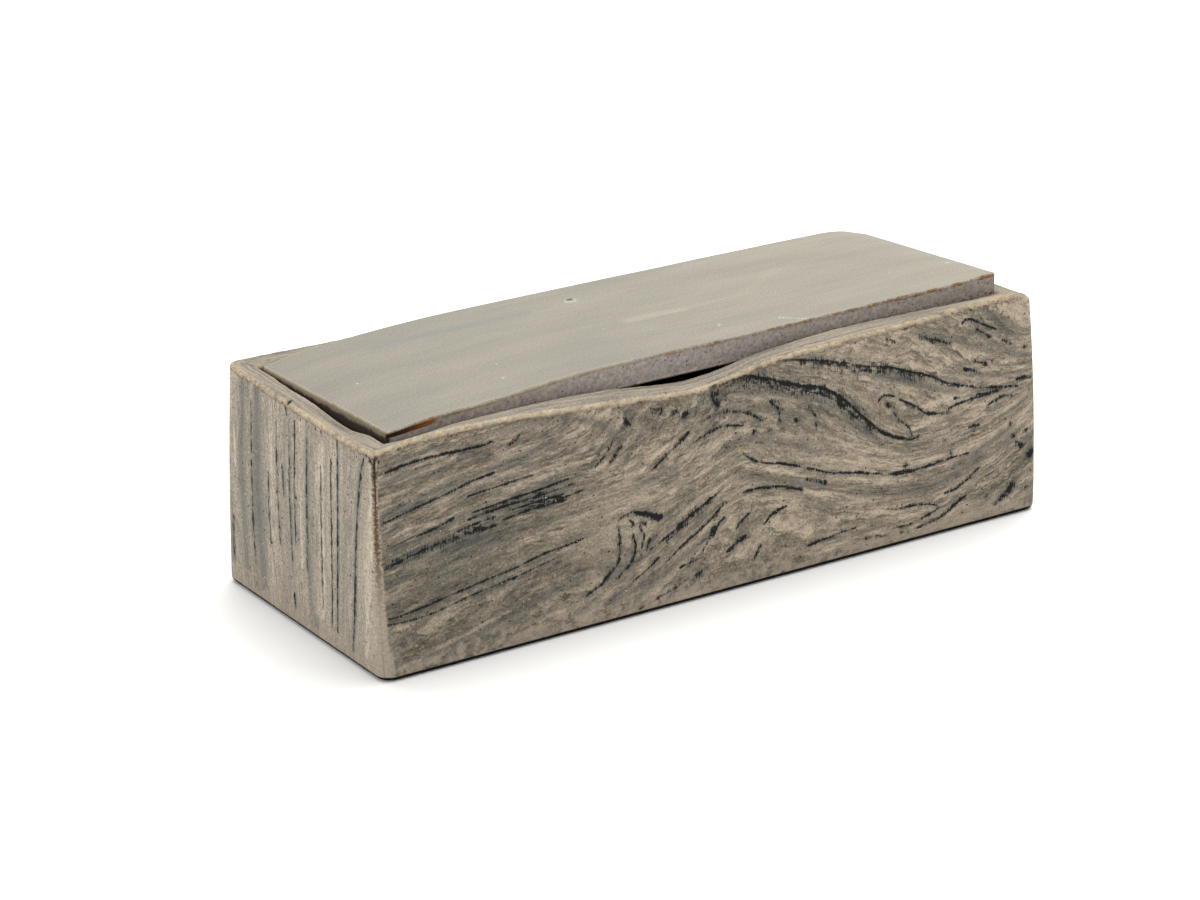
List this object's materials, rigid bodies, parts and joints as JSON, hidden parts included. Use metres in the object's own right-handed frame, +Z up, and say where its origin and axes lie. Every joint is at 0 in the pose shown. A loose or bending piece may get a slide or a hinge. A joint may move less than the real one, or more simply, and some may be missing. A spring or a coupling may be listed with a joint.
{
  "type": "lidded ceramic box",
  "caption": "Long slab-built stoneware box with marbled clay walls and a loose, warped, glazed lid slab that drops inside the rim.",
  "frame": {"origin": "middle of the flat underside", "axes": "+X along the box towards its right end, -Y out of the front wall, +Z up out of the underside"},
  "size_m": [0.1625, 0.0622, 0.0517],
  "materials": {
    "base_clay": "unglazed fired stoneware, fine grog, matte",
    "front_clay": "unglazed marbled stoneware, tan, grey and blue-black streaks, matte",
    "back_clay": "unglazed marbled stoneware, tan, grey and blue-black streaks, matte",
    "left_clay": "unglazed marbled stoneware with upright stripes, matte",
    "right_clay": "unglazed marbled stoneware with upright stripes, matte",
    "coil_clay": "unglazed stoneware coil pressed into the seam, matte",
    "ledge_clay": "unglazed stoneware strip, matte",
    "lid_glaze": "grey-green satin matte glaze on top, bare grey-brown clay on the edges and underside"
  },
  "bodies": {
    "box": {"base_slab": "base_clay", "front_wall": "front_clay", "back_wall": "back_clay", "left_end_wall": "left_clay", "right_end_wall": "right_clay", "floor_coil_front": "coil_clay", "floor_coil_back": "coil_clay", "floor_coil_left": "coil_clay", "floor_coil_right": "coil_clay", "seam_coil_front_left": "coil_clay", "seam_coil_back_left": "coil_clay", "seam_coil_front_right": "coil_clay", "seam_coil_back_right": "coil_clay", "lid_ledge_left": "ledge_clay", "lid_ledge_right": "ledge_clay"},
    "lid": {"lid_slab": "lid_glaze"}
  },
  "joints": [
    {"name": "lid_lift", "type": "slide", "parent": "box", "child": "lid", "axis": [0, 0, 1], "range_m": [0, 0.08]}
  ]
}
